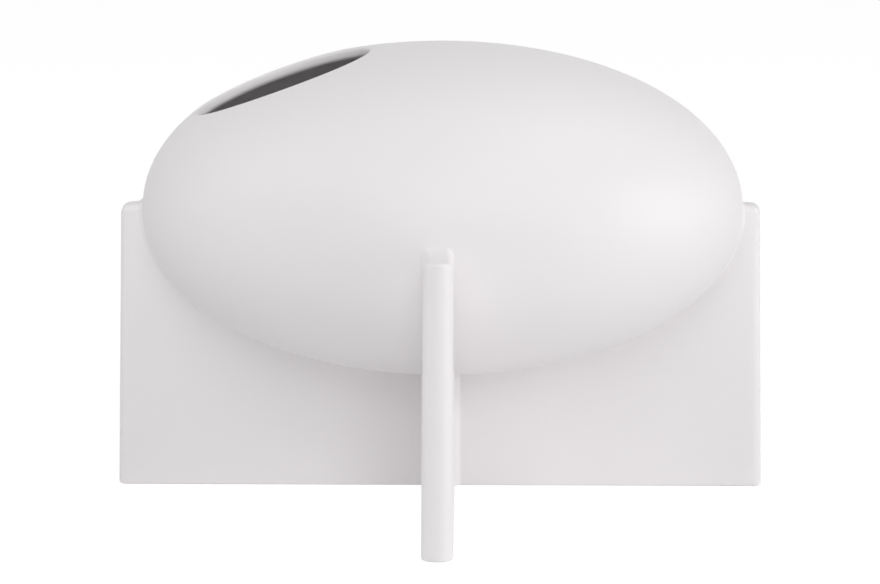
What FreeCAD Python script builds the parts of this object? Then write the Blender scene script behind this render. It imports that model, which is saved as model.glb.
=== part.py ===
import FreeCAD, Part
import os

# Ceramic table vase: a hollow, flattened ellipsoid sunk to its widest line in
# a base of two upright slabs that cross at right angles. Millimetres, +Z up,
# the origin on the table under the middle of the cross. The long slab runs
# along X, the cross slab along Y, and the mouth is cut on the -X side.

os.makedirs("parts", exist_ok=True)
doc = FreeCAD.newDocument("cross_base_vase")

# Driving dimensions

SIZES = (
    # Upright slabs, both alike
    ("end_reach", 9.7, "how far the long slab's foot stands out past the body"),
    ("end_lean", 2.0, "how far each end of a slab leans in up to its crest"),
    ("slab_height", 115.0, "height of the slabs' crests above the table"),
    ("foot_thickness", 12.8, "thickness of a slab at its foot"),
    ("crest_thickness", 11.6, "thickness of a slab at its crest"),
    ("end_rounding", 3.4, "radius of the upright end edges"),
    ("crest_rounding", 2.4, "radius of the edges round the crest"),
    ("foot_rounding", 1.6, "radius of the edges round the foot"),
    # Hollow body
    ("body_length", 240.6, "body along the long slab"),
    ("body_depth", 193.6, "body along the cross slab"),
    ("body_height", 131.0, "body from its underside to its top"),
    ("equator_drop", 1.5, "widest line of the body under the crests"),
    ("body_shift", 0.9, "body's middle to the right of the cross's middle"),
    ("wall_thickness", 4.5, "wall of the hollow body"),
    # Mouth in the upper left of the body
    ("mouth_inset", 21.3, "outer end of the mouth, from the body's left end"),
    ("mouth_run", 69.5, "mouth from end to end, seen from above"),
    ("mouth_width", 61.2, "mouth across, front to rear"),
    ("mouth_reach", 60.0, "half length of the form that cuts the mouth"),
    ("lip_rounding", 1.3, "radius of the mouth's two lips"),
    # Joints of soft clay
    ("slip_gap", 0.1, "layer of slip between two joined pieces"),
    ("seam_leg", 1.9, "width of the clay bevel in the body seams"),
    ("coil_radius", 2.6, "hollow radius of the coils in the inner corners"),
    ("coil_edge", 0.2, "least thickness of a coil's thin edges"),
    ("overrun", 5.0, "how far a cutting form runs past what it cuts"),
)

sheet = doc.addObject("Spreadsheet::Sheet", "sizes")
for row, (alias, value, meaning) in enumerate(SIZES, start=1):
    sheet.set("A%d" % row, str(value))
    sheet.set("B%d" % row, meaning)
    sheet.setAlias("A%d" % row, alias)
doc.recompute()

# Places that follow from the driving dimensions, as expressions

SLAB_SPAN = "(sizes.body_length + 2 * sizes.end_reach)"
EQUATOR_HEIGHT = "(sizes.slab_height - sizes.equator_drop)"
UNDERSIDE_HEIGHT = "(%s - sizes.body_height / 2)" % EQUATOR_HEIGHT
LAP_HEIGHT = "(%s / 2)" % UNDERSIDE_HEIGHT
LAP_THICKNESS = (
    "(sizes.foot_thickness - (sizes.foot_thickness - sizes.crest_thickness)"
    " * %s / sizes.slab_height)" % LAP_HEIGHT
)


def rise_of_body(distance):
    """Height of the body's top line above its widest line, at a distance from its middle."""
    return "(sizes.body_height / 2 * sqrt(1 - pow(2 * %s / sizes.body_length; 2)))" % distance


MOUTH_FAR = "(sizes.body_length / 2 - sizes.mouth_inset)"
MOUTH_NEAR = "(%s - sizes.mouth_run)" % MOUTH_FAR
NEAR_RISE = rise_of_body(MOUTH_NEAR)
FAR_RISE = rise_of_body(MOUTH_FAR)
MOUTH_CHORD = "sqrt(pow(sizes.mouth_run; 2) + pow(%s - %s; 2))" % (NEAR_RISE, FAR_RISE)
MOUTH_TILT = "atan((%s - %s) / sizes.mouth_run)" % (NEAR_RISE, FAR_RISE)

X_AXIS = FreeCAD.Vector(1, 0, 0)
Y_AXIS = FreeCAD.Vector(0, 1, 0)
BACK_ALONG_Y = FreeCAD.Vector(0, -1, 0)
Z_AXIS = FreeCAD.Vector(0, 0, 1)
RIGHT_ANGLE = 90
UPRIGHT = FreeCAD.Rotation(X_AXIS, RIGHT_ANGLE)


# Helpers

def bind(feature, **expressions):
    """Tie properties to expressions; a double underscore stands for a dot."""
    for name, expression in expressions.items():
        feature.setExpression(name.replace("__", "."), expression)
    return feature


def new_body(label):
    body = doc.addObject("PartDesign::Body", label)
    body.Label = label
    return body


def size(alias):
    return float(sheet.get(alias))


def edge_reach():
    """How close to a plane an edge has to be to count as on it."""
    tolerance_share = 0.0001
    return size("slab_height") * tolerance_share


def edge_points(edge):
    """Five points spread along an edge, or none for the pole of an ellipsoid."""
    if edge.Degenerated:
        return []
    count = 4
    span = edge.LastParameter - edge.FirstParameter
    return [edge.valueAt(edge.FirstParameter + span * step / count) for step in range(count + 1)]


def edges_where(shape, test):
    """Names of the edges whose every sampled point passes the test."""
    names = []
    for number, edge in enumerate(shape.Edges, start=1):
        points = edge_points(edge)
        if points and all(test(point) for point in points):
            names.append("Edge%d" % number)
    return names


def round_edges(body, name, test, radius_alias, grow="0"):
    """Round the edges of the body's latest feature that pass the test."""
    doc.recompute()
    base = body.Tip
    names = edges_where(base.Shape, test)
    if not names:
        raise RuntimeError("%s found no edges on %s" % (name, body.Label))
    fillet = body.newObject("PartDesign::Fillet", name)
    fillet.Base = (base, names)
    bind(fillet, Radius="sizes.%s + %s" % (radius_alias, grow))
    return fillet


def ellipsoid(body, kind, name, grow):
    """The body's ellipsoid at its place, larger all round by an expression."""
    form = body.newObject("PartDesign::%sEllipsoid" % kind, name)
    return bind(
        form,
        Radius1="sizes.body_height / 2 + %s" % grow,
        Radius2="sizes.body_length / 2 + %s" % grow,
        Radius3="sizes.body_depth / 2 + %s" % grow,
        Placement__Base__x="sizes.body_shift",
        Placement__Base__z=EQUATOR_HEIGHT,
    )


def ellipsoid_zone(body, kind, name, turn, grow):
    """The middle zone of that ellipsoid, just wide enough for one slab and its joint."""
    form = body.newObject("PartDesign::%sEllipsoid" % kind, name)
    form.Placement.Rotation = FreeCAD.Rotation(Y_AXIS if turn else X_AXIS, RIGHT_ANGLE)
    across, up, along = (
        ("sizes.body_length", "sizes.body_height", "sizes.body_depth")
        if turn else ("sizes.body_depth", "sizes.body_length", "sizes.body_height")
    )
    half_zone = "(sizes.foot_thickness / 2 + sizes.seam_leg + sizes.overrun)"
    edge_angle = "asin(2 * %s / %s)" % (half_zone, across)
    return bind(
        form,
        Radius1="%s / 2 + %s" % (across, grow),
        Radius2="%s / 2 + %s" % (up, grow),
        Radius3="%s / 2 + %s" % (along, grow),
        Angle1="-" + edge_angle,
        Angle2=edge_angle,
        Placement__Base__x="sizes.body_shift",
        Placement__Base__z=EQUATOR_HEIGHT,
    )


def on_ellipsoid(point):
    """Whether a point lies on the outside of the body."""
    across = 2 * (point.x - size("body_shift")) / size("body_length")
    along = 2 * point.y / size("body_depth")
    up = 2 * (point.z - size("slab_height") + size("equator_drop")) / size("body_height")
    tolerance_share = 0.001
    return abs(across ** 2 + along ** 2 + up ** 2 - 1) < tolerance_share


# Upright slabs

def slab_form(label, turn, grow="0"):
    """A slab without its cradle, turned about Z, larger all round by an expression."""
    body = new_body(label)
    wedge = body.newObject("PartDesign::AdditiveWedge", label + "_wedge")
    bind(
        wedge,
        Xmin="-%s / 2 - %s" % (SLAB_SPAN, grow),
        Xmax="%s / 2 + %s" % (SLAB_SPAN, grow),
        X2min="-%s / 2 + sizes.end_lean - %s" % (SLAB_SPAN, grow),
        X2max="%s / 2 - sizes.end_lean + %s" % (SLAB_SPAN, grow),
        Ymin="0 - %s" % grow,
        Ymax="sizes.slab_height + %s" % grow,
        Zmin="-sizes.foot_thickness / 2 - %s" % grow,
        Zmax="sizes.foot_thickness / 2 + %s" % grow,
        Z2min="-sizes.crest_thickness / 2 - %s" % grow,
        Z2max="sizes.crest_thickness / 2 + %s" % grow,
    )
    wedge.Placement.Rotation = FreeCAD.Rotation(Z_AXIS, turn) * UPRIGHT
    doc.recompute()

    foot = body.Tip.Shape.BoundBox.ZMin
    crest = body.Tip.Shape.BoundBox.ZMax
    middle = (foot + crest) / 2
    reach = edge_reach()
    ends = [
        "Edge%d" % number
        for number, edge in enumerate(body.Tip.Shape.Edges, start=1)
        if edge.BoundBox.ZMin < middle < edge.BoundBox.ZMax
    ]
    rounded_ends = body.newObject("PartDesign::Fillet", label + "_ends")
    rounded_ends.Base = (wedge, ends)
    bind(rounded_ends, Radius="sizes.end_rounding + %s" % grow)
    round_edges(body, label + "_crest", lambda point: point.z > crest - reach, "crest_rounding", grow)
    round_edges(body, label + "_foot", lambda point: point.z < foot + reach, "foot_rounding", grow)
    return body


def lap_slot(body, name, turn, bottom, top):
    """Cut the slot that takes the other slab, between two heights."""
    slot = body.newObject("PartDesign::SubtractiveBox", name)
    slot.Placement.Rotation = FreeCAD.Rotation(Z_AXIS, turn)
    width = "(%s + 2 * sizes.slip_gap)" % LAP_THICKNESS
    depth = "(sizes.foot_thickness + 2 * sizes.overrun)"
    if turn:
        bind(slot, Placement__Base__x=depth + " / 2", Placement__Base__y="-%s / 2" % width)
    else:
        bind(slot, Placement__Base__x="-%s / 2" % width, Placement__Base__y="-%s / 2" % depth)
    return bind(
        slot,
        Length=width,
        Width=depth,
        Height="%s - (%s)" % (top, bottom),
        Placement__Base__z=bottom,
    )


def long_slab():
    """Left to right slab, with its slot open upwards under the body."""
    body = slab_form("long_slab", turn=0)
    ellipsoid(body, "Subtractive", "long_cradle", "sizes.slip_gap")
    top = "%s + sizes.overrun" % UNDERSIDE_HEIGHT
    lap_slot(body, "long_slot", turn=0, bottom=LAP_HEIGHT, top=top)
    return body


def cross_slab():
    """Front to rear slab, with its slot open at the foot."""
    body = slab_form("cross_slab", turn=RIGHT_ANGLE)
    ellipsoid(body, "Subtractive", "cross_cradle", "sizes.slip_gap")
    top = "%s + sizes.slip_gap" % LAP_HEIGHT
    lap_slot(body, "cross_slot", turn=RIGHT_ANGLE, bottom="0 - sizes.overrun", top=top)
    return body


# Hollow body

def vase_body():
    """Thin ellipsoid shell with an oval mouth cut square to its own chord."""
    body = new_body("vase_body")
    ellipsoid(body, "Additive", "outside", "0")
    ellipsoid(body, "Subtractive", "inside", "0 - sizes.wall_thickness")

    mouth = body.newObject("PartDesign::SubtractiveEllipsoid", "mouth")
    mouth.Placement.Rotation = FreeCAD.Rotation(BACK_ALONG_Y, RIGHT_ANGLE)
    bind(
        mouth,
        Radius1="sizes.mouth_reach",
        Radius2=MOUTH_CHORD + " / 2",
        Radius3="sizes.mouth_width / 2",
        Placement__Base__x="sizes.body_shift - (%s + %s) / 2" % (MOUTH_NEAR, MOUTH_FAR),
        Placement__Base__z="%s + (%s + %s) / 2" % (EQUATOR_HEIGHT, NEAR_RISE, FAR_RISE),
        Placement__Rotation__Angle=MOUTH_TILT,
    )
    doc.recompute()

    centre = mouth.Placement.Base
    unturn = mouth.Placement.Rotation.inverted()
    tolerance_share = 0.002

    def on_mouth(point):
        local = unturn.multVec(point.sub(centre))
        shares = (
            local.x / mouth.Radius2.Value,
            local.y / mouth.Radius3.Value,
            local.z / mouth.Radius1.Value,
        )
        return abs(sum(share ** 2 for share in shares) - 1) < tolerance_share

    lips = [
        name for name in edges_where(body.Tip.Shape, on_mouth)
        if body.Tip.Shape.getElement(name).Length > size("mouth_width")
    ]
    rounded = body.newObject("PartDesign::Fillet", "lips")
    rounded.Base = (mouth, lips)
    bind(rounded, Radius="sizes.lip_rounding")
    return body


# Clay worked into the joints

def seam_ring(label, turn):
    """Bevel of clay all round the joint of one slab and the body."""
    form = slab_form(label + "_form", turn)
    joined = ellipsoid_zone(form, "Additive", label + "_outside", turn, "0")
    doc.recompute()
    reach = edge_reach()
    thickness = size("foot_thickness") / 2 + reach
    crest = size("slab_height") + reach

    def on_seam(point):
        off_slab = point.x if turn else point.y
        return on_ellipsoid(point) and abs(off_slab) < thickness and point.z < crest

    seam = edges_where(form.Tip.Shape, on_seam)
    bevel = form.newObject("PartDesign::Chamfer", label + "_bevel")
    bevel.Base = (joined, seam)
    bind(bevel, Size="sizes.seam_leg")
    ellipsoid_zone(form, "Subtractive", label + "_body_gap", turn, "sizes.slip_gap")

    ring = doc.addObject("Part::Cut", label)
    ring.Base = form
    ring.Tool = slab_form(label + "_slab_gap", turn, "sizes.slip_gap")
    return ring


def seam_fillet(label, ring, turn, side, start):
    """The part of a seam ring on one arm of the cross, from a start distance outwards."""
    arm = doc.addObject("Part::Box", label + "_arm")
    half_width = "(sizes.foot_thickness / 2 + sizes.seam_leg + sizes.overrun)"
    length = "(%s / 2 + sizes.overrun)" % SLAB_SPAN
    near_edge = start if side > 0 else "0 - " + length
    along, across = ("y", "x") if turn else ("x", "y")
    bind(arm, Height="sizes.slab_height + 2 * sizes.overrun")
    bind(arm, **{
        "Width" if turn else "Length": "%s - %s" % (length, start),
        "Length" if turn else "Width": "2 * " + half_width,
        "Placement__Base__" + along: near_edge,
        "Placement__Base__" + across: "0 - " + half_width,
    })
    piece = doc.addObject("Part::Common", label)
    piece.Label = label
    piece.Base = ring
    piece.Tool = arm
    return piece


def corner_coil(label, quarter):
    """Coil pressed into one inner corner of the cross, hollow in section."""
    body = new_body(label)
    block = body.newObject("PartDesign::AdditiveWedge", label + "_block")
    low_foot = "(sizes.foot_thickness / 2 + sizes.slip_gap)"
    low_crest = "(sizes.crest_thickness / 2 + sizes.slip_gap)"
    bind(
        block,
        Xmin=low_foot, Xmax=low_foot + " + sizes.coil_radius",
        X2min=low_crest, X2max=low_crest + " + sizes.coil_radius",
        Ymin="sizes.foot_rounding", Ymax="sizes.slab_height",
        Zmin=low_foot, Zmax=low_foot + " + sizes.coil_radius",
        Z2min=low_crest, Z2max=low_crest + " + sizes.coil_radius",
    )
    block.Placement.Rotation = FreeCAD.Rotation(Z_AXIS, quarter * RIGHT_ANGLE) * UPRIGHT
    side_x = "" if quarter in (0, 1) else "0 - "
    side_y = "" if quarter in (1, 2) else "0 - "
    hollow = body.newObject("PartDesign::SubtractiveCylinder", label + "_hollow")
    axis = "(%s + sizes.coil_radius + sizes.coil_edge)" % low_foot
    bind(
        hollow,
        Radius="sizes.coil_radius",
        Height="sizes.slab_height + 2 * sizes.overrun",
        Placement__Base__x=side_x + axis,
        Placement__Base__y=side_y + axis,
        Placement__Base__z="0 - sizes.overrun",
    )
    ellipsoid(body, "Subtractive", label + "_top", "sizes.seam_leg + sizes.slip_gap")
    return body


# The whole vase

pieces = [vase_body(), long_slab(), cross_slab()]

beside_cross_slab = "(sizes.foot_thickness / 2 + sizes.slip_gap)"
beside_long_seam = "(%s + sizes.seam_leg + sizes.slip_gap)" % beside_cross_slab
long_ring = seam_ring("long_seam", turn=0)
cross_ring = seam_ring("cross_seam", turn=RIGHT_ANGLE)
for label, side in (("seam_fillet_left", -1), ("seam_fillet_right", 1)):
    pieces.append(seam_fillet(label, long_ring, 0, side, beside_cross_slab))
for label, side in (("seam_fillet_front", -1), ("seam_fillet_rear", 1)):
    pieces.append(seam_fillet(label, cross_ring, RIGHT_ANGLE, side, beside_long_seam))

corners = ("front_right", "rear_right", "rear_left", "front_left")
for quarter, corner in enumerate(corners):
    pieces.append(corner_coil("corner_coil_" + corner, quarter))

doc.recompute()

# Check every object, then write one file per piece

for item in doc.Objects:
    if "Invalid" in item.State or "Error" in item.State:
        raise RuntimeError("%s: %s" % (item.Label, item.State))
for piece in pieces:
    if piece.Shape.isNull() or not piece.Shape.isValid():
        raise RuntimeError("%s has no valid shape" % piece.Label)
    piece.Shape.exportStep(os.path.join("parts", piece.Label + ".step"))
    print(piece.Label, len(piece.Shape.Solids), "solid", round(piece.Shape.Volume), "mm3")
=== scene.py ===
# %% [markdown]
# # A ceramic vase on a cross of two slabs
# The vase is a hollow, flattened body of white stoneware, sunk to its widest line
# in two upright slabs that cross at right angles. An oval mouth is cut in its upper
# left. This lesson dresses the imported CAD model: it loads the solids as a fixed
# frame, makes a finer piece for each of them and gives every piece its glaze. All
# lengths are in metres, +Z is up and the table is at height 0.

import math

import bmesh
import bpy
from mathutils import Matrix, Vector


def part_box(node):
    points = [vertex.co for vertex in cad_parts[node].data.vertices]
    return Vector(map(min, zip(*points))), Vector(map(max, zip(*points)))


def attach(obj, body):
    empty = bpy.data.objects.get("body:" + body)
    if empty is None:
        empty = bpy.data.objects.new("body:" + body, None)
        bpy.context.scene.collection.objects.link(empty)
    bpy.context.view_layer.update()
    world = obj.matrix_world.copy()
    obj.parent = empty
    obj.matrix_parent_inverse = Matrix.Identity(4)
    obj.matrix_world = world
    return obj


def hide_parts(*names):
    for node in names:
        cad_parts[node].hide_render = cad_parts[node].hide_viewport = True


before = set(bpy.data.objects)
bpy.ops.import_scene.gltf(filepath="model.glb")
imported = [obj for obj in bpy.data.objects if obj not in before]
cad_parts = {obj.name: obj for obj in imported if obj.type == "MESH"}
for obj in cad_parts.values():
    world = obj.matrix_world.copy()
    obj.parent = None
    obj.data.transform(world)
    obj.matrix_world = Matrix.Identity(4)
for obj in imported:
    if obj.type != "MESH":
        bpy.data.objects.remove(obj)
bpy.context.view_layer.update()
MM = 0.001


def in_mm(*lengths):
    """Lengths in millimetres, rounded for printing."""
    return [round(length / MM, 1) for length in lengths]


print("CAD pieces:", ", ".join(sorted(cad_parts)))

# %% [markdown]
# ## The camera
# The camera comes first, because every later choice is judged through it. It stands
# almost two metres in front, a little to the right of the front arm, and looks down
# by eleven and a half degrees through a long lens, so upright edges stay nearly
# parallel. A camera looks along its own -Z axis. So it is tilted up from looking at
# the floor, then turned about the upright, and the small roll is about its own view.

# %% Camera
CAMERA_PLACE = Vector((16.58, -1914.61, 467.80)) * MM
LOOK_DOWN = 0.20058
TURN_LEFT = 0.00871
ROLL = 0.00157
LENS = 198.45
SENSOR = 36.0

camera = bpy.data.objects.new("camera", bpy.data.cameras.new("camera"))
camera.data.lens = LENS
camera.data.sensor_width = SENSOR
camera.matrix_world = (
    Matrix.Translation(CAMERA_PLACE)
    @ Matrix.Rotation(TURN_LEFT, 4, "Z")
    @ Matrix.Rotation(math.pi / 2 - LOOK_DOWN, 4, "X")
    @ Matrix.Rotation(ROLL, 4, "Z")
)
bpy.context.scene.collection.objects.link(camera)
bpy.context.scene.camera = camera
bpy.context.scene.view_settings.view_transform = "Standard"
print("camera", round(CAMERA_PLACE.length, 3), "m from the cross,",
      "looking down", round(math.degrees(LOOK_DOWN), 1), "degrees")

# %% [markdown]
# ## Sizes of the vase
# The frame says where the pieces are. The body's box gives its middle and its half
# lengths, and the slabs' boxes give their reach and height. Only what a box can't
# tell, such as the rounding of an edge, is named here. The body isn't quite an
# ellipsoid: its shoulders are a little fuller, which a power slightly over 2 gives.
# Two casts are never quite alike either. The cross slab is a little thinner than the
# long one and rounder at its ends, and the corners of the crests differ.

# %% Sizes
body_low, body_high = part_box("vase_body")
BODY_MIDDLE = (body_low + body_high) / 2
BODY_HALF = (body_high - body_low) / 2
FULLNESS = 2.06
WALL = 4.5 * MM

slab_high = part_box("long_slab")[1]
SLAB_REACH = slab_high.x
SLAB_HEIGHT = slab_high.z
FOOT_HALF = 6.4 * MM
CREST_HALF = 5.8 * MM
CROSS_THINNER = 0.3 * MM
END_LEAN = 2.0 * MM
SIDE_END_ROUNDING = 3.4 * MM
FRONT_END_ROUNDING = 5.4 * MM
CREST_ROUNDING = 2.4 * MM
FOOT_ROUNDING = 0.9 * MM
LEFT_CREST_CORNER = 3.6 * MM
RIGHT_CREST_CORNER = 2.8 * MM
FRONT_CREST_CORNER = 0.8 * MM
LEFT_SAG = 0.4 * MM
SAG_RUN = 8.0 * MM
print("body half lengths in mm:", in_mm(*BODY_HALF))
print("slab reach and height in mm:", in_mm(SLAB_REACH, SLAB_HEIGHT))


def body_measure(place):
    """1 on the body's skin, less inside it and more outside it."""
    x, y, z = (abs(place[axis] - BODY_MIDDLE[axis]) / BODY_HALF[axis] for axis in range(3))
    return (math.hypot(x, y) ** FULLNESS + z ** FULLNESS) ** (1 / FULLNESS)


# %% [markdown]
# ## Sums that write their own nodes
# Geometry Nodes and shader nodes do arithmetic with Math nodes, and a long sum is
# easier to read as a sum. A Flow is a value that runs through a node tree. Adding
# or multiplying two of them adds the Math node and its two wires.

# %% A value in a node tree
class Flow:
    """A socket's value. Arithmetic with it adds Math nodes to its tree."""

    def __init__(self, tree, socket):
        self.tree = tree
        self.socket = socket

    def math(self, operation, *others):
        node = self.tree.nodes.new("ShaderNodeMath")
        node.operation = operation
        for slot, value in zip(node.inputs, (self, *others)):
            feed(self.tree, slot, value)
        return Flow(self.tree, node.outputs[0])

    def __add__(self, other):
        return self.math("ADD", other)

    def __sub__(self, other):
        return self.math("SUBTRACT", other)

    def __mul__(self, other):
        return self.math("MULTIPLY", other)

    def __truediv__(self, other):
        return self.math("DIVIDE", other)

    def __pow__(self, other):
        return self.math("POWER", other)

    def size(self):
        return self.math("ABSOLUTE")


def feed(tree, slot, value):
    """Wire a Flow into an input, or write a plain value in it."""
    if isinstance(value, Flow):
        tree.links.new(value.socket, slot)
    else:
        slot.default_value = value


def add_node(tree, kind, settings=None, **inputs):
    """Add a node. Inputs are named with _ for a space, settings are its properties."""
    node = tree.nodes.new(kind)
    for name, value in (settings or {}).items():
        setattr(node, name, value)
    for name, value in inputs.items():
        feed(tree, node.inputs[name.replace("_", " ")], value)
    return node


def out(node, name=0):
    """One output of a node, the first if no name is given."""
    return Flow(node.id_data, node.outputs[name])


# %% [markdown]
# ## The same for places
# A place or a direction is a vector, with nodes of its own. These few helpers take
# it apart, put it together, do one step of vector arithmetic and make it longer or
# shorter. The last one moves every point of a shape to a place or by an offset.

# %% Vectors in a node tree
def split(tree, vector):
    node = add_node(tree, "ShaderNodeSeparateXYZ", Vector=vector)
    return [out(node, axis) for axis in range(3)]


def join(tree, x, y, z):
    return out(add_node(tree, "ShaderNodeCombineXYZ", X=x, Y=y, Z=z))


def vector_sum(tree, operation, *values):
    """One Vector Math node. All but a dot product give a vector."""
    node = add_node(tree, "ShaderNodeVectorMath", {"operation": operation})
    for slot, value in zip(node.inputs, values):
        feed(tree, slot, value)
    return out(node, "Value" if operation == "DOT_PRODUCT" else "Vector")


def scaled(tree, vector, factor):
    """A vector times a number."""
    settings = {"operation": "SCALE"}
    return out(add_node(tree, "ShaderNodeVectorMath", settings, Vector=vector, Scale=factor))


def moved(tree, shape, **where):
    """A shape with its points at a Position, or shifted by an Offset."""
    return out(add_node(tree, "GeometryNodeSetPosition", Geometry=shape, **where))


# %% [markdown]
# ## Trees with named inputs
# A Geometry Nodes tree is made once and can serve several pieces, each with its own
# values. A modifier keeps its values under each input's identifier, so a helper
# looks the identifier up by name. It sets the values before anything is worked out,
# turns the result into a plain mesh and takes the modifier away.

# %% Making a tree, and a piece from it
SOCKETS = {
    "number": "NodeSocketFloat",
    "count": "NodeSocketInt",
    "place": "NodeSocketVector",
    "glaze": "NodeSocketMaterial",
    "shape": "NodeSocketGeometry",
}


def new_tree(name, **inputs):
    """A geometry tree and its inputs as Flows. Inputs are given as name=kind."""
    tree = bpy.data.node_groups.new(name, "GeometryNodeTree")
    for label, kind in inputs.items():
        tree.interface.new_socket(label, in_out="INPUT", socket_type=SOCKETS[kind])
    tree.interface.new_socket("shape", in_out="OUTPUT", socket_type=SOCKETS["shape"])
    source = tree.nodes.new("NodeGroupInput")
    return tree, {label: Flow(tree, source.outputs[label]) for label in inputs}


def end_tree(tree, shape, glaze):
    """End with real geometry and its material, which is what an export keeps."""
    real = out(add_node(tree, "GeometryNodeRealizeInstances", Geometry=shape))
    glazed = out(add_node(tree, "GeometryNodeSetMaterial", Geometry=real, Material=glaze))
    feed(tree, tree.nodes.new("NodeGroupOutput").inputs[0], glazed)
    print("the tree", tree.name, "has", len(tree.nodes), "nodes")


def recall(tree, name, kind="FLOAT"):
    """A value that was stored on the points under a name."""
    return out(add_node(tree, "GeometryNodeInputNamedAttribute", {"data_type": kind}, Name=name))


def make_piece(name, mesh, tree, values, finish=None):
    """Run a tree, and any finishing modifier, and keep the result as a plain mesh."""
    piece = bpy.data.objects.new(name, mesh)
    bpy.context.scene.collection.objects.link(piece)
    modifier = piece.modifiers.new(tree.name, "NODES")
    modifier.node_group = tree
    inputs = [item for item in tree.interface.items_tree if item.in_out == "INPUT"]
    identifiers = {item.name: item.identifier for item in inputs}
    for label, value in values.items():
        modifier[identifiers[label]] = value
    if finish:
        finish(piece)
    seen = bpy.context.evaluated_depsgraph_get()
    made = bpy.data.meshes.new_from_object(piece.evaluated_get(seen), depsgraph=seen)
    piece.modifiers.clear()
    piece.data = made
    made.name = name
    print(name, "has", len(made.vertices), "vertices and", len(made.polygons), "faces")
    return piece


# %% [markdown]
# ## The glaze
# The vase has one satin white glaze all over. Seen close, such a glaze isn't one
# flat colour. It drifts slowly between a cooler and a warmer white, it is a touch
# rougher in some places, and its skin has a very shallow dimple every few
# millimetres over a finer grain. Each of these is a noise at its own scale, read in
# object coordinates, so the pattern runs on from piece to piece as on one firing.

# %% Noise, mixing and bumps
def noise(tree, where, scale, detail):
    """Smooth noise from 0 to 1 with features about 1/scale metres across."""
    node = add_node(tree, "ShaderNodeTexNoise", Vector=where, Scale=scale, Detail=detail)
    return out(node, "Fac")


def between(tree, share, low, high):
    """A value or colour between two others, by a share."""
    colours = isinstance(low, tuple)
    node = add_node(tree, "ShaderNodeMix", {"data_type": "RGBA" if colours else "FLOAT"})
    kind = "Color" if colours else "Float"
    inputs = {slot.identifier: slot for slot in node.inputs}
    feed(tree, inputs["Factor_Float"], share)
    feed(tree, inputs["A_" + kind], low)
    feed(tree, inputs["B_" + kind], high)
    outputs = {slot.identifier: slot for slot in node.outputs}
    return Flow(tree, outputs["Result_" + kind])


def bumped(tree, height, depth, under=None):
    """A skin with bumps of that depth, over another bumped skin if one is given."""
    node = add_node(tree, "ShaderNodeBump", Height=height, Distance=depth, Strength=1.0)
    if under:
        feed(tree, node.inputs["Normal"], under)
    return out(node)


# %% The glaze as a node material
DRIFT_SCALE = 9.0
DIMPLE_SCALE = 170.0
GRAIN_SCALE = 1500.0
DIMPLE_DEPTH = 0.05 * MM
GRAIN_DEPTH = 0.006 * MM
COOL_WHITE = (0.892, 0.872, 0.888, 1.0)
WARM_WHITE = (0.912, 0.886, 0.890, 1.0)
SMOOTH, ROUGH = 0.46, 0.56
DRIFT_IN_ROUGHNESS = 0.6
GRAIN_IN_ROUGHNESS = 0.4
GLAZE_IOR = 1.5


def glaze_material(name):
    """Satin glaze that drifts between two whites, and between two roughnesses."""
    material = bpy.data.materials.new(name)
    material.use_nodes = True
    tree = material.node_tree
    shader = tree.nodes["Principled BSDF"]
    where = out(tree.nodes.new("ShaderNodeTexCoord"), "Object")
    drift = noise(tree, where, DRIFT_SCALE, 2.0)
    dimples = noise(tree, where, DIMPLE_SCALE, 1.0)
    grain = noise(tree, where, GRAIN_SCALE, 2.0)
    feed(tree, shader.inputs["Base Color"], between(tree, drift, COOL_WHITE, WARM_WHITE))
    wear = drift * DRIFT_IN_ROUGHNESS + grain * GRAIN_IN_ROUGHNESS
    feed(tree, shader.inputs["Roughness"], between(tree, wear, SMOOTH, ROUGH))
    skin = bumped(tree, grain, GRAIN_DEPTH, bumped(tree, dimples, DIMPLE_DEPTH))
    feed(tree, shader.inputs["Normal"], skin)
    shader.inputs["IOR"].default_value = GLAZE_IOR
    print("glaze", name, "roughness", SMOOTH, "to", ROUGH)
    return material


glazes = {part: glaze_material("satin_white_" + part) for part in ("shell", "slab", "joint")}

# %% [markdown]
# ## The body's rule
# Potters cast such a body in a two-part mould and cut the mouth from the leather
# hard clay. Its form follows one rule, so a tree makes it. The tree starts from a
# flat grid. One way across it is the turn round the mouth, the other way runs from
# the far end of the skin up to the mouth's edge, over the cut wall and back down
# inside. This first sum says how far out a place is: 1 on the skin.

# %% How far out a place is
def add_measure(tree, place, half, fullness):
    """1 on a skin with those three half lengths, less inside it."""
    x, y, z = split(tree, vector_sum(tree, "DIVIDE", place, half))
    flat = (x * x + y * y) ** (fullness / 2.0)
    return (flat + z.size() ** fullness) ** (fullness ** -1.0)


# %% [markdown]
# ## The mouth's edge
# The mouth is an oval, seen square to its own chord. The chord joins two places on
# the body's top line, so its middle, its tilt and its length follow from them.

# %% Where the mouth is
MOUTH_FAR = 99.0 * MM
MOUTH_NEAR = 29.5 * MM
MOUTH_HALF_WIDTH = 30.6 * MM
LIP_ROUNDING = 1.6 * MM


def top_line(distance):
    """Height of the body's top line over its middle, at a distance to the left."""
    return BODY_HALF.z * (1 - (distance / BODY_HALF.x) ** FULLNESS) ** (1 / FULLNESS)


far_end = Vector((-MOUTH_FAR, 0, top_line(MOUTH_FAR)))
near_end = Vector((-MOUTH_NEAR, 0, top_line(MOUTH_NEAR)))
mouth_middle = (far_end + near_end) / 2
mouth_half_length = (near_end - far_end).length / 2
mouth_along = (near_end - far_end).normalized()
mouth_out = mouth_along.cross(Vector((0, 1, 0)))
print("mouth in mm:", in_mm(2 * mouth_half_length, 2 * MOUTH_HALF_WIDTH))
print("the mouth faces", round(math.degrees(math.atan2(-mouth_out.x, mouth_out.z)), 1),
      "degrees to the left")

# %% [markdown]
# ## A grid that stands on the mouth
# Each row of the grid stands for one ring round the body. Every point is told its
# share of the way from the mouth to the far pole and whether it is on the inside,
# and then goes to its place on the mouth's oval.

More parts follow.
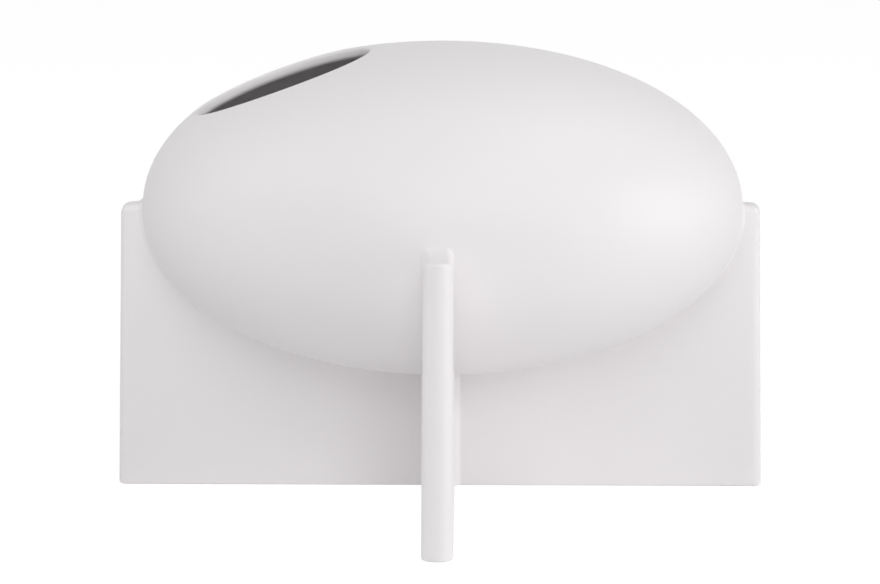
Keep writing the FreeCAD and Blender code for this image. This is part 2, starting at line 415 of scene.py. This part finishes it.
# %% The start of the body's tree
def start_shell_tree():
    """A flat grid, with every point of it sent to the mouth's oval."""
    tree, given = new_tree(
        "hollow_body",
        half="place", middle="place", fullness="number", wall="number",
        mouth_middle="place", mouth_along="place", mouth_out="place",
        mouth_half_length="number", mouth_half_width="number",
        rings="count", spokes="count", glaze="glaze",
    )
    grid = add_node(
        tree, "GeometryNodeMeshGrid", Size_X=1.0, Size_Y=1.0,
        Vertices_X=given["rings"] * 2.0 + 2.0, Vertices_Y=given["spokes"] + 1.0,
    )
    place = out(tree.nodes.new("GeometryNodeInputPosition"))
    across, along, _ = split(tree, place)
    row = ((across + 0.5) * (given["rings"] * 2.0 + 1.0)).math("ROUND")
    inside = row.math("GREATER_THAN", given["rings"] + 0.5)
    share = ((row - given["rings"] - 0.5).size() - 0.5) / given["rings"]
    turn = (along + 0.5) * (2 * math.pi)

    shape = out(grid, "Mesh")
    for name, value in (("share_from_mouth", share), ("is_inside", inside)):
        shape = out(add_node(
            tree, "GeometryNodeStoreNamedAttribute", {"data_type": "FLOAT"},
            Geometry=shape, Name=name, Value=value,
        ))
    lengthwise = scaled(tree, given["mouth_along"],
                        turn.math("COSINE") * given["mouth_half_length"])
    sideways = join(tree, 0.0, turn.math("SINE") * given["mouth_half_width"], 0.0)
    oval = vector_sum(tree, "ADD", lengthwise,
                      vector_sum(tree, "ADD", given["mouth_middle"], sideways))
    return tree, given, moved(tree, shape, Position=oval), place


# %% [markdown]
# ## From the mouth to the far pole
# The chord's plane cuts through the body, so the oval has to be lifted to the skin.
# A repeat zone does that: every point steps out along the mouth's direction by what
# is missing, ten steps being plenty. The knife was held square to the wall all
# round, so the inner edge is the outer one drawn in with the skin. To spread the
# rows over the body, every point then turns away from the mouth by its share of the
# angle that is left to the far pole, and is pushed out to its skin. So the rows
# crowd nowhere and run parallel to the mouth, and the pole comes to lie out of
# sight in the long slab's cradle. The doubled points at the grid's seam and at both
# poles are merged.

# %% The rest of the body's tree
EDGE_STEPS = 10
MERGE_BODY = 0.002 * MM


def lift_to_skin(tree, given, shape, place):
    """Step out along the mouth's direction until every point is on the outer skin."""
    start = tree.nodes.new("GeometryNodeRepeatInput")
    end = tree.nodes.new("GeometryNodeRepeatOutput")
    start.pair_with_output(end)
    start.inputs["Iterations"].default_value = EDGE_STEPS
    feed(tree, start.inputs["Geometry"], shape)
    missing = add_measure(tree, place, given["half"], given["fullness"]) * -1.0 + 1.0
    step = missing * split(tree, given["half"])[2]
    stepped = moved(tree, out(start, "Geometry"), Offset=scaled(tree, given["mouth_out"], step))
    feed(tree, end.inputs["Geometry"], stepped)
    return out(end, "Geometry")


def spread_to_pole(tree, given, shape, place, own_half):
    """Turn every point away from the mouth by its share, and push it out to its skin."""
    heading = vector_sum(tree, "NORMALIZE", place)
    pole = vector_sum(tree, "NORMALIZE", scaled(tree, given["mouth_middle"], -1.0))
    whole = vector_sum(tree, "DOT_PRODUCT", heading, pole).math("ARCCOSINE")
    turned = out(add_node(
        tree, "ShaderNodeVectorRotate", {"rotation_type": "AXIS_ANGLE"},
        Vector=heading, Axis=vector_sum(tree, "CROSS_PRODUCT", heading, pole),
        Angle=whole * recall(tree, "share_from_mouth"),
    ))
    distance = add_measure(tree, turned, own_half, given["fullness"]) ** -1.0
    return moved(tree, shape, Position=scaled(tree, turned, distance))


def shell_tree():
    """The hollow body: both skins and the cut wall between them."""
    tree, given, shape, place = start_shell_tree()
    wall = recall(tree, "is_inside") * given["wall"]
    own_half = vector_sum(tree, "SUBTRACT", given["half"], join(tree, wall, wall, wall))
    shape = lift_to_skin(tree, given, shape, place)
    shrink = vector_sum(tree, "DIVIDE", own_half, given["half"])
    shape = moved(tree, shape, Position=vector_sum(tree, "MULTIPLY", place, shrink))
    shape = spread_to_pole(tree, given, shape, place, own_half)
    shape = moved(tree, shape, Offset=given["middle"])
    merge = add_node(tree, "GeometryNodeMergeByDistance", Geometry=shape, Distance=MERGE_BODY)
    smooth = add_node(tree, "GeometryNodeSetShadeSmooth", Geometry=out(merge), Shade_Smooth=True)
    end_tree(tree, out(smooth), given["glaze"])
    return tree


# %% The hollow body
RINGS = 96
SPOKES = 240
LIP_SEGMENTS = 5
LIP_SHARP_OVER = math.radians(50)


def round_lips(piece):
    """Sponge the two sharp edges of the mouth round."""
    bevel = piece.modifiers.new("lips", "BEVEL")
    bevel.width = LIP_ROUNDING
    bevel.segments = LIP_SEGMENTS
    bevel.limit_method = "ANGLE"
    bevel.angle_limit = LIP_SHARP_OVER
    bevel.use_clamp_overlap = True


body = make_piece(
    "hollow_body", bpy.data.meshes.new("start"), shell_tree(),
    {
        "half": BODY_HALF, "middle": BODY_MIDDLE, "fullness": FULLNESS, "wall": WALL,
        "mouth_middle": mouth_middle, "mouth_along": mouth_along, "mouth_out": mouth_out,
        "mouth_half_length": mouth_half_length, "mouth_half_width": MOUTH_HALF_WIDTH,
        "rings": RINGS, "spokes": SPOKES, "glaze": glazes["shell"],
    },
    round_lips,
)

# %% [markdown]
# ## The slabs
# Each slab is cast too: a little thicker at the foot than at the crest, its ends
# leaning in, and every edge softened. Seen from above, a slab is a rounded oblong
# at every height, so it is written in mesh code as a stack of such oblongs. Near
# the foot and the crest they shrink, as the edge rolls over. Only the ends of the
# crest roll by a radius of their own, because each was sponged a little differently.

# %% Heights and roundings up a slab
UPRIGHT_ROWS = 34
ARC_STEPS = 6


def arc(steps):
    """Angles from nothing to a right angle."""
    return [math.pi / 2 * step / steps for step in range(steps + 1)]


def slab_rows():
    """Up a slab's edge: height, how far it has rolled in, and whether that is the crest's."""
    foot = [(1 - math.cos(angle), 1 - math.sin(angle)) for angle in arc(ARC_STEPS)]
    rows = [(FOOT_ROUNDING * up, FOOT_ROUNDING * roll, False) for up, roll in foot]
    low, high = FOOT_ROUNDING, SLAB_HEIGHT - CREST_ROUNDING
    for step in range(1, UPRIGHT_ROWS):
        share = (1 - math.cos(math.pi * step / UPRIGHT_ROWS)) / 2
        rows.append((low + (high - low) * share, 0.0, False))
    crest = [(math.sin(angle), 1 - math.cos(angle)) for angle in arc(ARC_STEPS)]
    return rows + [(high + CREST_ROUNDING * up, CREST_ROUNDING * roll, True) for up, roll in crest]


def corner_roll(height, radius):
    """How far the crest's corner at an end of the slab has rolled in at a height."""
    over = min(radius, max(0.0, height - (SLAB_HEIGHT - radius)))
    return radius - math.sqrt(radius ** 2 - over ** 2)


print("a slab is a stack of", len(slab_rows()), "oblongs")

# %% [markdown]
# ## Cradle and halved joint
# The cradle is the hollow that takes the body. The slab goes on into the body's
# wall there, so it ends out of sight. The two slabs pass through each other in a
# halved joint, as in a carton: the long slab has a slot open upwards, the cross
# slab one open at the foot. All of this only changes how high or how low a slab
# goes at a place. From here on a place on a slab is given along it and across it,
# and a slab is turned if it runs from front to rear.

# %% How thick, how high and how low a slab is
SUNK_IN_WALL = 3.0 * MM
SLOT_SLIP = 0.1 * MM
LAP_HEIGHT = (BODY_MIDDLE.z - BODY_HALF.z) / 2
LAP_HALF = FOOT_HALF - (FOOT_HALF - CREST_HALF) * LAP_HEIGHT / SLAB_HEIGHT + SLOT_SLIP


def slab_half(height, turned):
    """Half a slab's thickness at a height."""
    half = FOOT_HALF + (CREST_HALF - FOOT_HALF) * height / SLAB_HEIGHT
    return half - CROSS_THINNER if turned else half


def cradle_height(along, across, turned):
    """Top of a slab under the body, sunk a little in its wall, or None beside it."""
    x, y = (across, along) if turned else (along, across)
    half = [length - SUNK_IN_WALL for length in BODY_HALF]
    out_from_middle = math.hypot((x - BODY_MIDDLE.x) / half[0], (y - BODY_MIDDLE.y) / half[1])
    if out_from_middle >= 1:
        return None
    return BODY_MIDDLE.z - half[2] * (1 - out_from_middle ** FULLNESS) ** (1 / FULLNESS)


def crest_height(along, turned):
    """The crest. The long slab's slopes down a little beyond the body on the left."""
    way = min(1.0, max(0.0, (-along - (BODY_HALF.x - SUNK_IN_WALL)) / SAG_RUN))
    return SLAB_HEIGHT if turned else SLAB_HEIGHT - LEFT_SAG * way


def top_height(along, across, turned):
    """How high a slab goes: to its slot, into the body's wall or to its crest."""
    if not turned and abs(along) < LAP_HALF:
        return LAP_HEIGHT
    cradle = cradle_height(along, across, turned)
    return crest_height(along, turned) if cradle is None else cradle


def low_height(along, turned):
    """How low a slab goes: to the table, or to its slot."""
    return LAP_HEIGHT if turned and abs(along) < LAP_HALF else 0.0


print("the slabs lap up to a height in mm of", *in_mm(LAP_HEIGHT))

# %% [markdown]
# ## Round the oblong
# A station is a place round the oblong that keeps its part in it at every height:
# on the end's flat, on the corner or on the side. The stations on the side crowd a
# little towards the ends, and two of them stand close to each wall of the slot.

# %% Stations round a slab
END_STEPS = 3
CORNER_STEPS = 8
SIDE_COLUMNS = 120
SIDE_REACH = SLAB_REACH - 8.0 * MM
SLOT_NUDGE = 0.01 * MM


def slab_stations():
    """Half way round a slab, from its right end's middle to its left end's."""
    right = [("end", step / END_STEPS) for step in range(END_STEPS)]
    right += [("corner", angle) for angle in arc(CORNER_STEPS)]
    ways = [1 - 2 * step / SIDE_COLUMNS for step in range(1, SIDE_COLUMNS)]
    sides = [(way + math.sin(math.pi / 2 * way)) / 2 for way in ways]
    for wall in (-LAP_HALF, LAP_HALF):
        sides += [(wall - SLOT_NUDGE) / SIDE_REACH, (wall + SLOT_NUDGE) / SIDE_REACH]
    left = [(kind + "_left", value) for kind, value in reversed(right)]
    return right + [("side", value) for value in sorted(sides, reverse=True)] + left


def plan_place(kind, value, reach, half, rounding):
    """A place round the oblong of that half length, half width and corner radius."""
    if kind == "side":
        return SIDE_REACH * value, half
    if kind.startswith("end"):
        along, across = reach, (half - rounding) * value
    else:
        along = reach - rounding + rounding * math.cos(value)
        across = half - rounding + rounding * math.sin(value)
    return (-along if kind.endswith("left") else along), across


print(len(slab_stations()), "stations half round a slab")

# %% [markdown]
# ## One column of the stack
# At each station a column of points runs up the slab. Under the body the column is
# pressed down into the cradle, and keeps the thickness that belongs to its real
# height, so the clay in the seams and corners touches it. The foot and the top are
# closed by a few points that lead out to the edge from the slab's middle line, and
# round each end from one pole on that line.

# %% A column of points
CAP_STEPS = 4
CAP_POLE = SLAB_REACH - 9.0 * MM


def cap_line(edge, height_at):
    """Points from the slab's middle line out to an edge, without the edge itself."""
    along, across, _ = edge
    pole = min(max(along, -CAP_POLE), CAP_POLE)
    line = []
    for step in range(CAP_STEPS):
        x, y = pole + (along - pole) * step / CAP_STEPS, across * step / CAP_STEPS
        line.append((x, y, height_at(x, y)))
    return line


def slab_column(kind, value, turned, crest_corners):
    """Points from the slab's middle under the foot, up its side and over the top."""
    crest_corner = crest_corners[0 if kind.endswith("left") else 1]
    end_rounding = FRONT_END_ROUNDING if turned else SIDE_END_ROUNDING
    points = []
    for height, roll, on_crest in slab_rows():
        share = height / SLAB_HEIGHT
        end_roll = corner_roll(height, crest_corner) if height > SLAB_HEIGHT / 2 else roll
        x, y = plan_place(
            kind, value, SLAB_REACH - END_LEAN * share - end_roll,
            slab_half(height, turned) - roll, end_rounding - roll,
        )
        low, top = low_height(x, turned), top_height(x, y, turned)
        z = low + (top - low) * share
        if on_crest and cradle_height(x, y, turned) is not None:
            y += roll
        if kind == "side":
            y += slab_half(z, turned) - slab_half(height, turned)
        points.append((x, y, z))
    foot = cap_line(points[0], lambda x, y: points[0][2])
    top = cap_line(points[-1], lambda x, y: top_height(x, y, turned))
    return foot + points + top[::-1]


# %% The slab as a stack of oblongs
MERGE_SLAB = 0.004 * MM
SLIVER = 0.001 * MM
CRISP_OVER = math.radians(40)


def slab_mesh(name, turned, crest_corners):
    """A slab as a closed mesh: a sheet over one side of it, and its mirror image."""
    columns = [slab_column(*station, turned, crest_corners) for station in slab_stations()]
    mesh = bmesh.new()
    for side in (1, -1):
        grid = [
            [mesh.verts.new((side * y, x, z) if turned else (x, side * y, z)) for x, y, z in line]
            for line in columns
        ]
        for near, far in zip(grid, grid[1:]):
            for corners in zip(near, near[1:], far[1:], far):
                mesh.faces.new(corners)
    bmesh.ops.remove_doubles(mesh, verts=mesh.verts, dist=MERGE_SLAB)
    bmesh.ops.dissolve_degenerate(mesh, edges=mesh.edges, dist=SLIVER)
    bmesh.ops.recalc_face_normals(mesh, faces=mesh.faces)
    made = bpy.data.meshes.new(name)
    mesh.to_mesh(made)
    mesh.free()
    return made


def slab(name, turned, crest_corners):
    """A slab, glazed and shaded smooth, with its sharpest edges kept crisp."""
    mesh = slab_mesh(name, turned, crest_corners)
    mesh.polygons.foreach_set("use_smooth", [True] * len(mesh.polygons))
    mesh.set_sharp_from_angle(angle=CRISP_OVER)
    mesh.materials.append(glazes["slab"])
    piece = bpy.data.objects.new(name, mesh)
    bpy.context.scene.collection.objects.link(piece)
    print(name, "has", len(mesh.polygons), "faces")
    return piece


long_slab = slab("long_slab_cast", False, (LEFT_CREST_CORNER, RIGHT_CREST_CORNER))
cross_slab = slab("cross_slab_cast", True, (FRONT_CREST_CORNER, FRONT_CREST_CORNER))

# %% [markdown]
# ## Clay worked into the seams
# Where the body sits in a slab, the potter presses a thin roll of soft clay into
# the corner and wipes it a little hollow with a fingertip. It follows the line
# where the body meets the slab: up one side from the middle of the cross, over the
# crest and down the other side. So the line is worked out first, with the direction
# that faces away from the slab at each point, and a tree sweeps the section along.

# %% The line of a seam
SEAM_STEPS = 110
CREST_TURN_STEPS = 8
OVER_TOP_STEPS = 5
SETTLE_STEPS = 8


def on_body(along, across, height, turned):
    """Push a place on a slab outwards and up or down until it is on the body's skin."""
    middle = BODY_MIDDLE.y if turned else BODY_MIDDLE.x
    for _ in range(SETTLE_STEPS):
        far = body_measure((across, along, height) if turned else (along, across, height))
        along = middle + (along - middle) / far
        height = BODY_MIDDLE.z + (height - BODY_MIDDLE.z) / far
    return along, height


def seam_up_side(turned, side):
    """Along the slab's face, from the middle of the cross to where the crest rolls over."""
    half_body = BODY_HALF.y if turned else BODY_HALF.x
    roll_height = SLAB_HEIGHT - CREST_ROUNDING
    first = math.asin(FOOT_HALF / half_body)
    last = math.pi / 2 - math.asin((BODY_MIDDLE.z - roll_height) / BODY_HALF.z)
    line = []
    for step in range(SEAM_STEPS + 1):
        angle = first + (last - first) * step / SEAM_STEPS
        along = side * half_body * math.sin(angle)
        height = BODY_MIDDLE.z - BODY_HALF.z * math.cos(angle)
        along, height = on_body(along, slab_half(height, turned), height, turned)
        line.append(((along, slab_half(height, turned), height), (0.0, 1.0, 0.0)))
    return line


def seam_over_crest(turned, side):
    """Round the crest's rolled edge and on to the slab's middle."""
    roll_height = SLAB_HEIGHT - CREST_ROUNDING
    half = slab_half(roll_height, turned)
    line = []
    for angle in arc(CREST_TURN_STEPS)[1:]:
        across = half - CREST_ROUNDING * (1 - math.cos(angle))
        height = roll_height + CREST_ROUNDING * math.sin(angle)
        along = side * (BODY_HALF.y if turned else BODY_HALF.x)
        for _ in range(SETTLE_STEPS):
            place = (across, along, height) if turned else (along, across, height)
            along /= body_measure(place)
        line.append(((along, across, height), (0.0, math.cos(angle), math.sin(angle))))
    for step in range(1, OVER_TOP_STEPS + 1):
        left_over = across * (1 - step / OVER_TOP_STEPS)
        line.append(((along, left_over, height), (0.0, 0.0, 1.0)))
    return line


def whole_seam(turned, side):
    """One arm's seam, from one side of the slab over the crest to the other."""
    half = seam_up_side(turned, side) + seam_over_crest(turned, side)
    mirrored = [((a, -c, h), (x, -y, z)) for (a, c, h), (x, y, z) in half[-2::-1]]
    line = half + mirrored
    if (side > 0) != turned:
        line = line[::-1]
    if turned:
        line = [((c, a, h), (y, x, z)) for (a, c, h), (x, y, z) in line]
    return line


def line_mesh(name, line):
    """A chain of edges that carries the slab's outward direction at each point."""
    mesh = bpy.data.meshes.new(name)
    edges = [(point, point + 1) for point in range(len(line) - 1)]
    mesh.from_pydata([place for place, _ in line], edges, [])
    facing = mesh.attributes.new("away_from_slab", "FLOAT_VECTOR", "POINT")
    facing.data.foreach_set("vector", [value for _, away in line for value in away])
    return mesh


print("a seam has", len(whole_seam(False, -1)), "points")

# %% [markdown]
# ## The sweep
# The section of the pressed clay is a corner whose face is flat or a little hollow.
# Its two tips touch the slab and the body and its root goes a little into both, so
# no gap can show. The tree builds that section from a row of points, turns it into
# a closed curve and carries it along the seam. The curve's own normal is set to the
# direction that faces away from the slab, which keeps the section upright all the
# way round.

# %% The tree that sweeps the clay
def clay_section(tree, given):
    """A closed curve: the row of points is the face, and the last point is the root."""
    index = out(tree.nodes.new("GeometryNodeInputIndex"))
    way = index / given["steps"]
    angle = way * (math.pi / 2)
    is_root = index.math("GREATER_THAN", given["steps"] + 0.5)
    straight = [way * -1.0 + 1.0, way]
    arched = [angle.math(wave) * -1.0 + 1.0 for wave in ("SINE", "COSINE")]
    corner = []
    for flat, bent in zip(straight, arched):
        face = (flat + (bent - flat) * given["hollowness"]) * given["leg"] - given["sink"]
        corner.append(face * (is_root * -1.0 + 1.0) - is_root * given["root"])
    points = out(add_node(tree, "GeometryNodeMeshLine", Count=given["steps"] + 2.0))
    section = moved(tree, points, Position=join(tree, *corner, 0.0))
    section = out(add_node(tree, "GeometryNodeMeshToCurve", Mesh=section))
    return out(add_node(tree, "GeometryNodeSetSplineCyclic", Geometry=section, Cyclic=True))


def sweep_tree():
    """The section of the clay, carried along a line."""
    tree, given = new_tree(
        "pressed_clay", line="shape", leg="number", hollowness="number",
        root="number", sink="number", steps="count", glaze="glaze",
    )
    section = clay_section(tree, given)
    path = out(add_node(tree, "GeometryNodeMeshToCurve", Mesh=given["line"]))
    away = recall(tree, "away_from_slab", "FLOAT_VECTOR")
    path = out(add_node(
        tree, "GeometryNodeSetCurveNormal", {"mode": "FREE"}, Curve=path, Normal=away,
    ))
    swept = out(add_node(
        tree, "GeometryNodeCurveToMesh", Curve=path, Profile_Curve=section, Fill_Caps=True,
    ))
    smooth = add_node(tree, "GeometryNodeSetShadeSmooth", Geometry=swept, Shade_Smooth=True)
    bend = out(tree.nodes.new("GeometryNodeInputMeshEdgeAngle"), "Unsigned Angle")
    crisp = add_node(
        tree, "GeometryNodeSetShadeSmooth", {"domain": "EDGE"},
        Geometry=out(smooth), Selection=bend.math("GREATER_THAN", CRISP_OVER),
        Shade_Smooth=False,
    )
    end_tree(tree, out(crisp), given["glaze"])
    return tree


# %% [markdown]
# ## The seams of the four arms
# Each seam was pressed by hand, so each has a leg of its own, and the front one is
# hardly there. The body curves away under the tips, so a wider seam is sunk deeper
# for its edge to lie on the skin.

# %% Seams
ROOT = 1.2 * MM
SECTION_STEPS = 10
SEAM_HOLLOWNESS = 0.5
SEAM_LEG = {"left": 2.6 * MM, "right": 1.7 * MM, "front": 0.5 * MM, "rear": 1.6 * MM}
SEAM_SINK = {"left": 0.26 * MM, "right": 0.17 * MM, "front": 0.06 * MM, "rear": 0.10 * MM}
ARMS = {"left": (False, -1), "right": (False, 1), "front": (True, -1), "rear": (True, 1)}
clay_sweep = sweep_tree()


def press_clay(name, line, leg, hollowness, sink):
    """A piece of clay pressed along a line."""
    values = {
        "leg": leg, "hollowness": hollowness, "root": ROOT, "sink": sink,
        "steps": SECTION_STEPS, "glaze": glazes["joint"],
    }
    return make_piece(name, line_mesh(name + "_line", line), clay_sweep, values)


seams = {
    arm: press_clay("pressed_seam_" + arm, whole_seam(*way), SEAM_LEG[arm],
                    SEAM_HOLLOWNESS, SEAM_SINK[arm])
    for arm, way in ARMS.items()
}

# %% [markdown]
# ## Coils in the inner corners
# The four inner corners of the cross get a coil each, pressed nearly flat. They run
# straight up from the foot until they are lost under the body. They are the same
# section at another size, so the same tree makes them.

# %% Corner coils
COIL_LEG = 2.4 * MM
COIL_HOLLOWNESS = 0.15
COIL_SINK = 0.06 * MM
COIL_FOOT = 0.3 * MM
COIL_TOP = BODY_MIDDLE.z - BODY_HALF.z + 2.0 * MM
COIL_STEPS = 24


def coil_line(x_side, y_side):
    """Straight up one inner corner, in the direction that turns the section outwards."""
    rise = (COIL_TOP - COIL_FOOT) / COIL_STEPS
    heights = [COIL_FOOT + rise * step for step in range(COIL_STEPS + 1)]
    if x_side * y_side < 0:
        heights.reverse()
    return [
        ((x_side * slab_half(h, True), y_side * slab_half(h, False), h), (x_side, 0.0, 0.0))
        for h in heights
    ]


coils = {}
for depth_name, y_side in (("front", -1), ("rear", 1)):
    for side_name, x_side in (("left", -1), ("right", 1)):
        corner = depth_name + "_" + side_name
        coils[corner] = press_clay("corner_coil_cast_" + corner, coil_line(x_side, y_side),
                                   COIL_LEG, COIL_HOLLOWNESS, COIL_SINK)

# %% [markdown]
# ## Faces that point outwards
# A swept section can come out with its inside outwards, depending on which way its
# line runs. The volume of a closed mesh tells: it is negative for such a piece.

# %% Check each closed piece
ML_IN_CUBIC_METRE = 1e6


def signed_volume(mesh):
    """The volume in a mesh, negative if it is inside out, and the count of open edges."""
    probe = bmesh.new()
    probe.from_mesh(mesh)
    volume = probe.calc_volume(signed=True)
    open_edges = sum(1 for edge in probe.edges if len(edge.link_faces) != 2)
    probe.free()
    return volume, open_edges


for piece in [body, long_slab, cross_slab, *seams.values(), *coils.values()]:
    volume, open_edges = signed_volume(piece.data)
    if volume < 0:
        piece.data.flip_normals()
    print(piece.name, "holds", round(abs(volume) * ML_IN_CUBIC_METRE, 2), "ml of clay,",
          "open edges:", open_edges, "flipped" if volume < 0 else "")

# %% [markdown]
# ## Each piece on the frame
# Nothing on this vase moves, so all the pieces ride on the one body of the frame.
# Each stands for the CAD solid that it refines.

# %% Ride and replace
stands_for = [
    (body, "vase_body", "glazed_shell"),
    (long_slab, "long_slab", "glazed_slab"),
    (cross_slab, "cross_slab", "glazed_slab"),
]
stands_for += [(piece, "seam_fillet_" + arm, "glazed_joint") for arm, piece in seams.items()]
stands_for += [(piece, "corner_coil_" + place, "glazed_joint") for place, piece in coils.items()]
for piece, node, finish in stands_for:
    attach(piece, "root")
    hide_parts(node)
print(len(stands_for), "pieces ride on the frame")

# %% [markdown]
# ## The table and the light
# The vase stands on a plain white table that fills the picture. The table is white
# to the camera and to glossy reflections by its own faint glow, and still takes the
# soft shadow of the vase.

# %% Floor
FLOOR_HALF = 8.0
FLOOR_WHITE = (0.90, 0.90, 0.90, 1.0)
PURE_WHITE = (1.0, 1.0, 1.0, 1.0)
FLOOR_GLOW = 1.1
FLOOR_GLOW_SHARE = 0.85

floor_mesh = bpy.data.meshes.new("floor")
way_round = ((-1, -1), (1, -1), (1, 1), (-1, 1))
floor_corners = [(x * FLOOR_HALF, y * FLOOR_HALF, 0) for x, y in way_round]
floor_mesh.from_pydata(floor_corners, [], [(0, 1, 2, 3)])
floor = bpy.data.objects.new("floor", floor_mesh)
bpy.context.scene.collection.objects.link(floor)


def seen_directly(tree):
    """1 for what the camera sees, in person or in gloss, and 0 for light that bounces."""
    path = tree.nodes.new("ShaderNodeLightPath")
    seen = out(path, "Is Camera Ray").math("MAXIMUM", out(path, "Is Glossy Ray"))
    return seen.math("MAXIMUM", out(path, "Is Transmission Ray"))


def floor_material():
    """Plain white that glows a little where it is seen."""
    material = bpy.data.materials.new("white_table")
    material.use_nodes = True
    tree = material.node_tree
    tree.nodes.clear()
    paper = out(add_node(tree, "ShaderNodeBsdfDiffuse", Color=FLOOR_WHITE))
    glow = out(add_node(tree, "ShaderNodeEmission", Color=PURE_WHITE, Strength=FLOOR_GLOW))
    mix = tree.nodes.new("ShaderNodeMixShader")
    for slot, value in zip(mix.inputs, (seen_directly(tree) * FLOOR_GLOW_SHARE, paper, glow)):
        feed(tree, slot, value)
    feed(tree, tree.nodes.new("ShaderNodeOutputMaterial").inputs["Surface"], out(mix))
    return material


floor_mesh.materials.append(floor_material())
print("the table is", 2 * FLOOR_HALF, "m wide")

# %% [markdown]
# ## Soft studio light
# The light is broad and even. Square lamps stand all round at one distance, the
# strongest low on the right, and the pale table throws some of it back up. The
# world is white where it is seen and adds very little light of its own.

# %% World and lamps
WORLD_LIGHT = 0.08
WORLD_SEEN = 1.0
AIM = Vector((0.0, 0.0, 0.09))
LAMP_DISTANCE = 2.3
LAMP_SIZE = 1.3

world = bpy.data.worlds.new("studio")
world.use_nodes = True
bpy.context.scene.world = world
sky = world.node_tree
sky.nodes.clear()
strength = between(sky, seen_directly(sky), WORLD_LIGHT, WORLD_SEEN)
ambient = out(add_node(sky, "ShaderNodeBackground", Color=PURE_WHITE, Strength=strength))
feed(sky, sky.nodes.new("ShaderNodeOutputWorld").inputs["Surface"], ambient)


def softbox(name, turn, rise, power):
    """A square lamp that faces the vase, turned to the camera's right and raised in degrees."""
    light = bpy.data.lights.new(name, "AREA")
    light.shape = "SQUARE"
    light.size = LAMP_SIZE
    light.energy = power
    lamp = bpy.data.objects.new(name, light)
    turn, rise = math.radians(turn), math.radians(rise)
    level = math.cos(rise)
    way = Vector((math.sin(turn) * level, -math.cos(turn) * level, math.sin(rise)))
    lamp.location = AIM + way * LAMP_DISTANCE
    lamp.rotation_mode = "QUATERNION"
    lamp.rotation_quaternion = (AIM - lamp.location).to_track_quat("-Z", "Y")
    bpy.context.scene.collection.objects.link(lamp)
    print("lamp", name, power, "W")


softbox("front_low", turn=0, rise=12, power=9.8)
softbox("right_low", turn=78, rise=12, power=23.5)
softbox("left_low", turn=-75, rise=12, power=3.0)
softbox("front_high", turn=0, rise=40, power=11.4)
softbox("left_high", turn=-75, rise=40, power=11.3)
softbox("rear_right", turn=110, rise=65, power=8.3)
softbox("rear_left", turn=-110, rise=65, power=5.2)
